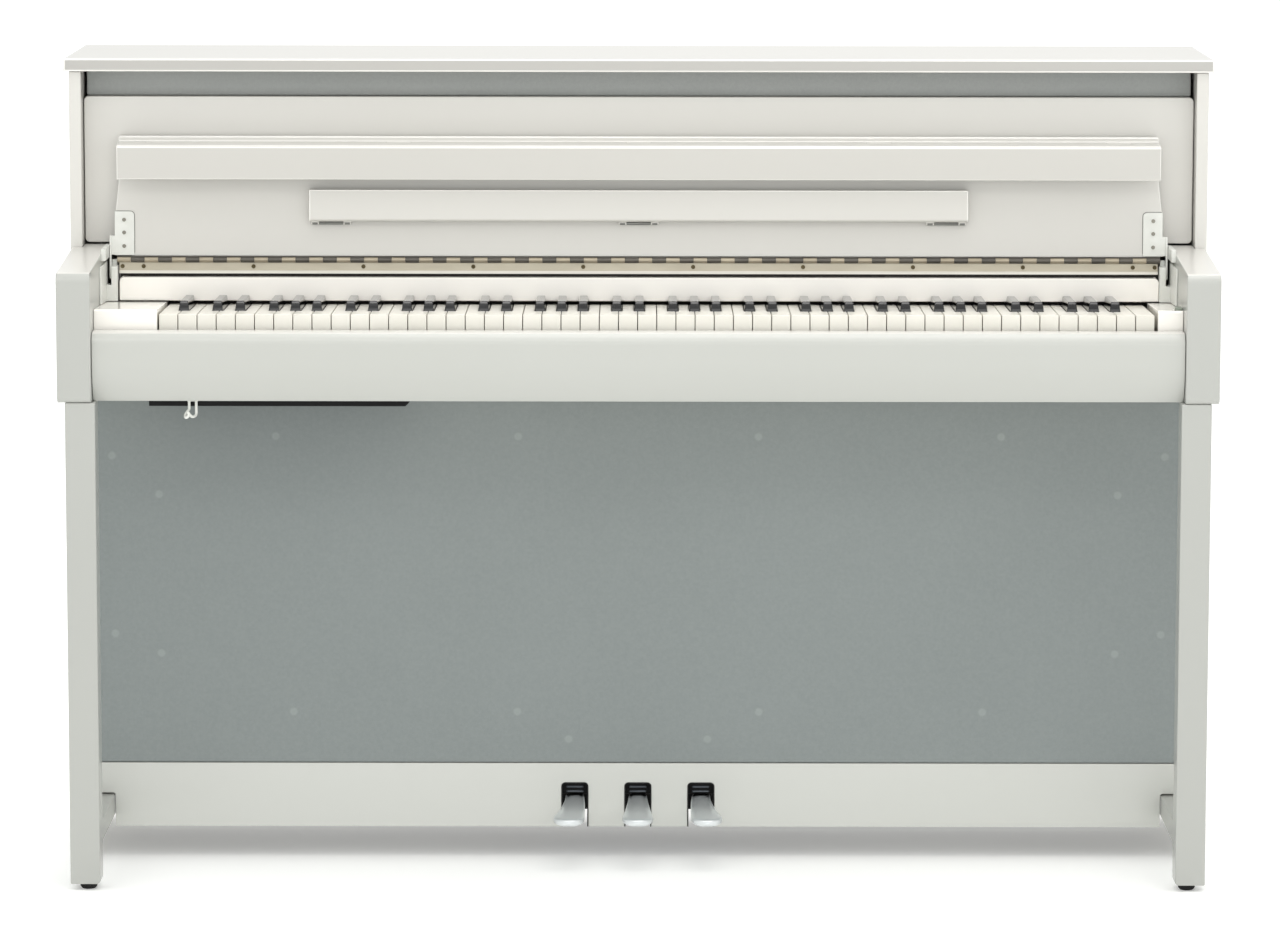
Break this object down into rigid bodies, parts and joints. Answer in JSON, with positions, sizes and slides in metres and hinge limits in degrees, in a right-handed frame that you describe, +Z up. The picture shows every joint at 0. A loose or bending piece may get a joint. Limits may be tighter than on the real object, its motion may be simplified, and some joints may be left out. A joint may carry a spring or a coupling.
{
  "type": "digital piano",
  "caption": "Upright digital piano on its own legs: off-white case, grey cloth lower front, folding key cover with hanging lip, full weighted keyboard, three pedals.",
  "frame": {"origin": "on the floor, at the centre of the footprint", "axes": "+X to the player's right (treble side), +Y from the player to the back, +Z up"},
  "size_m": [1.436, 0.465, 1.016],
  "materials": {
    "white_lacquer": "polished off-white polyester lacquer",
    "grey_cloth": "woven grey grille cloth",
    "dark_board": "black-stained board",
    "bare_board": "bare particle board",
    "pale_brass": "pale satin plate",
    "white_plastic": "satin white",
    "white_metal": "white powder coat",
    "black_plastic": "matt black",
    "black_metal": "black enamel",
    "grey_steel": "zinc-plated sheet",
    "circuit_board": "green laminate",
    "aluminium_case": "satin",
    "bright_screws": "nickel-plated",
    "grey_plastic": "satin grey",
    "pedal_chrome": "polished chrome",
    "ivory_keys": "ivory-feel white tops",
    "black_keys": "ebony-feel black",
    "black_rubber": "black"
  },
  "bodies": {
    "case": {"side_panel_left": "white_lacquer", "side_panel_right": "white_lacquer", "key_arm_left": "white_lacquer", "key_arm_right": "white_lacquer", "front_leg_left": "white_lacquer", "front_leg_right": "white_lacquer", "toe_rail_left": "white_lacquer", "toe_rail_right": "white_lacquer", "glide_feet": "black_rubber", "upper_front_panel": "white_lacquer", "upper_grille": "grey_cloth", "speaker_board": "dark_board", "lower_grille": "grey_cloth", "pedal_board": "white_lacquer", "back_panel": "dark_board", "key_bed": "bare_board", "key_slip": "white_lacquer", "key_block_left": "white_lacquer", "key_block_right": "white_lacquer", "name_board": "white_lacquer", "hinge_strip": "pale_brass", "strip_screws": "pale_brass", "cover_brackets": "white_plastic", "headphone_hanger": "white_metal", "jack_box": "black_plastic", "pedal_bracket": "black_metal", "key_frame": "grey_steel", "woofers": "black_plastic", "tweeters": "black_plastic", "main_board": "circuit_board", "power_unit": "aluminium_case", "mains_inlet": "black_plastic", "lid_hinge": "pale_brass"},
    "lid": {"top_lid": "white_lacquer"},
    "cover": {"key_cover": "white_lacquer", "cover_hinges": "pale_brass", "cover_plates": "white_metal", "plate_screws": "bright_screws"},
    "lip": {"cover_lip": "white_lacquer"},
    "ledge": {"music_ledge": "white_lacquer"},
    "power_button": {"power_button": "grey_plastic"},
    "pedal_left": {"pedal_left": "pedal_chrome"},
    "pedal_middle": {"pedal_middle": "pedal_chrome"},
    "pedal_right": {"pedal_right": "pedal_chrome"},
    "key_c": {"key_c": "ivory_keys"},
    "key_c_sharp": {"key_c_sharp": "black_keys"},
    "key_d": {"key_d": "ivory_keys"},
    "key_d_sharp": {"key_d_sharp": "black_keys"},
    "key_e": {"key_e": "ivory_keys"},
    "key_f": {"key_f": "ivory_keys"},
    "key_f_sharp": {"key_f_sharp": "black_keys"},
    "key_g": {"key_g": "ivory_keys"},
    "key_g_sharp": {"key_g_sharp": "black_keys"},
    "key_a": {"key_a": "ivory_keys"},
    "key_a_sharp": {"key_a_sharp": "black_keys"},
    "key_b": {"key_b": "ivory_keys"},
    "white_keys_low": {"white_keys_low": "ivory_keys"},
    "white_keys_high": {"white_keys_high": "ivory_keys"},
    "black_keys_low": {"black_keys_low": "black_keys"},
    "black_keys_high": {"black_keys_high": "black_keys"}
  },
  "joints": [
    {"name": "lid_hinge", "type": "hinge", "parent": "case", "child": "lid", "pos_m": [0, 0.2295, 0.9998], "axis": [-1, 0, 0], "range_deg": [0, 90]},
    {"name": "cover_hinge", "type": "hinge", "parent": "case", "child": "cover", "pos_m": [0, -0.0345, 0.764], "axis": [1, 0, 0], "range_deg": [0, 96]},
    {"name": "lip_hinge", "type": "hinge", "parent": "cover", "child": "lip", "pos_m": [0, -0.0395, 0.9095], "axis": [1, 0, 0], "range_deg": [-96, 0]},
    {"name": "ledge_hinge", "type": "hinge", "parent": "cover", "child": "ledge", "pos_m": [0, -0.03497, 0.81046], "axis": [-1, 0, 0], "range_deg": [-85, 0]},
    {"name": "power_push", "type": "slide", "parent": "case", "child": "power_button", "axis": [0, 0, -1], "range_m": [0, 0.0025], "stiffness_N_per_m": 600, "springref_m": -0.002},
    {"name": "pedal_left_hinge", "type": "hinge", "parent": "case", "child": "pedal_left", "pos_m": [-0.08, 0.0675, 0.066], "axis": [1, 0, 0], "range_deg": [0, 5], "stiffness_Nm_per_rad": 30, "springref_deg": -5.73},
    {"name": "pedal_middle_hinge", "type": "hinge", "parent": "case", "child": "pedal_middle", "pos_m": [0, 0.0675, 0.066], "axis": [1, 0, 0], "range_deg": [0, 5], "stiffness_Nm_per_rad": 30, "springref_deg": -5.73},
    {"name": "pedal_right_hinge", "type": "hinge", "parent": "case", "child": "pedal_right", "pos_m": [0.08, 0.0675, 0.066], "axis": [1, 0, 0], "range_deg": [0, 5], "stiffness_Nm_per_rad": 30, "springref_deg": -5.73},
    {"name": "key_c_pivot", "type": "hinge", "parent": "case", "child": "key_c", "pos_m": [0, 0.03983, 0.66989], "axis": [1, 0, 0], "range_deg": [0, 2.4], "stiffness_Nm_per_rad": 0.6, "springref_deg": -22.92},
    {"name": "key_c_sharp_pivot", "type": "hinge", "parent": "case", "child": "key_c_sharp", "pos_m": [0, 0.03983, 0.66989], "axis": [1, 0, 0], "range_deg": [0, 2.4], "stiffness_Nm_per_rad": 0.6, "springref_deg": -22.92},
    {"name": "key_d_pivot", "type": "hinge", "parent": "case", "child": "key_d", "pos_m": [0, 0.03983, 0.66989], "axis": [1, 0, 0], "range_deg": [0, 2.4], "stiffness_Nm_per_rad": 0.6, "springref_deg": -22.92},
    {"name": "key_d_sharp_pivot", "type": "hinge", "parent": "case", "child": "key_d_sharp", "pos_m": [0, 0.03983, 0.66989], "axis": [1, 0, 0], "range_deg": [0, 2.4], "stiffness_Nm_per_rad": 0.6, "springref_deg": -22.92},
    {"name": "key_e_pivot", "type": "hinge", "parent": "case", "child": "key_e", "pos_m": [0, 0.03983, 0.66989], "axis": [1, 0, 0], "range_deg": [0, 2.4], "stiffness_Nm_per_rad": 0.6, "springref_deg": -22.92},
    {"name": "key_f_pivot", "type": "hinge", "parent": "case", "child": "key_f", "pos_m": [0, 0.03983, 0.66989], "axis": [1, 0, 0], "range_deg": [0, 2.4], "stiffness_Nm_per_rad": 0.6, "springref_deg": -22.92},
    {"name": "key_f_sharp_pivot", "type": "hinge", "parent": "case", "child": "key_f_sharp", "pos_m": [0, 0.03983, 0.66989], "axis": [1, 0, 0], "range_deg": [0, 2.4], "stiffness_Nm_per_rad": 0.6, "springref_deg": -22.92},
    {"name": "key_g_pivot", "type": "hinge", "parent": "case", "child": "key_g", "pos_m": [0, 0.03983, 0.66989], "axis": [1, 0, 0], "range_deg": [0, 2.4], "stiffness_Nm_per_rad": 0.6, "springref_deg": -22.92},
    {"name": "key_g_sharp_pivot", "type": "hinge", "parent": "case", "child": "key_g_sharp", "pos_m": [0, 0.03983, 0.66989], "axis": [1, 0, 0], "range_deg": [0, 2.4], "stiffness_Nm_per_rad": 0.6, "springref_deg": -22.92},
    {"name": "key_a_pivot", "type": "hinge", "parent": "case", "child": "key_a", "pos_m": [0, 0.03983, 0.66989], "axis": [1, 0, 0], "range_deg": [0, 2.4], "stiffness_Nm_per_rad": 0.6, "springref_deg": -22.92},
    {"name": "key_a_sharp_pivot", "type": "hinge", "parent": "case", "child": "key_a_sharp", "pos_m": [0, 0.03983, 0.66989], "axis": [1, 0, 0], "range_deg": [0, 2.4], "stiffness_Nm_per_rad": 0.6, "springref_deg": -22.92},
    {"name": "key_b_pivot", "type": "hinge", "parent": "case", "child": "key_b", "pos_m": [0, 0.03983, 0.66989], "axis": [1, 0, 0], "range_deg": [0, 2.4], "stiffness_Nm_per_rad": 0.6, "springref_deg": -22.92},
    {"name": "white_keys_low_pivot", "type": "hinge", "parent": "case", "child": "white_keys_low", "pos_m": [0, 0.03983, 0.66989], "axis": [1, 0, 0], "range_deg": [0, 2.4], "stiffness_Nm_per_rad": 13.8, "springref_deg": -22.92},
    {"name": "white_keys_high_pivot", "type": "hinge", "parent": "case", "child": "white_keys_high", "pos_m": [0, 0.03983, 0.66989], "axis": [1, 0, 0], "range_deg": [0, 2.4], "stiffness_Nm_per_rad": 13.2, "springref_deg": -22.92},
    {"name": "black_keys_low_pivot", "type": "hinge", "parent": "case", "child": "black_keys_low", "pos_m": [0, 0.03983, 0.66989], "axis": [1, 0, 0], "range_deg": [0, 2.4], "stiffness_Nm_per_rad": 9.6, "springref_deg": -22.92},
    {"name": "black_keys_high_pivot", "type": "hinge", "parent": "case", "child": "black_keys_high", "pos_m": [0, 0.03983, 0.66989], "axis": [1, 0, 0], "range_deg": [0, 2.4], "stiffness_Nm_per_rad": 9, "springref_deg": -22.92}
  ],
  "couplings": [
    {"joint": "lip_hinge", "follows": "cover_hinge", "ratio": -1}
  ]
}
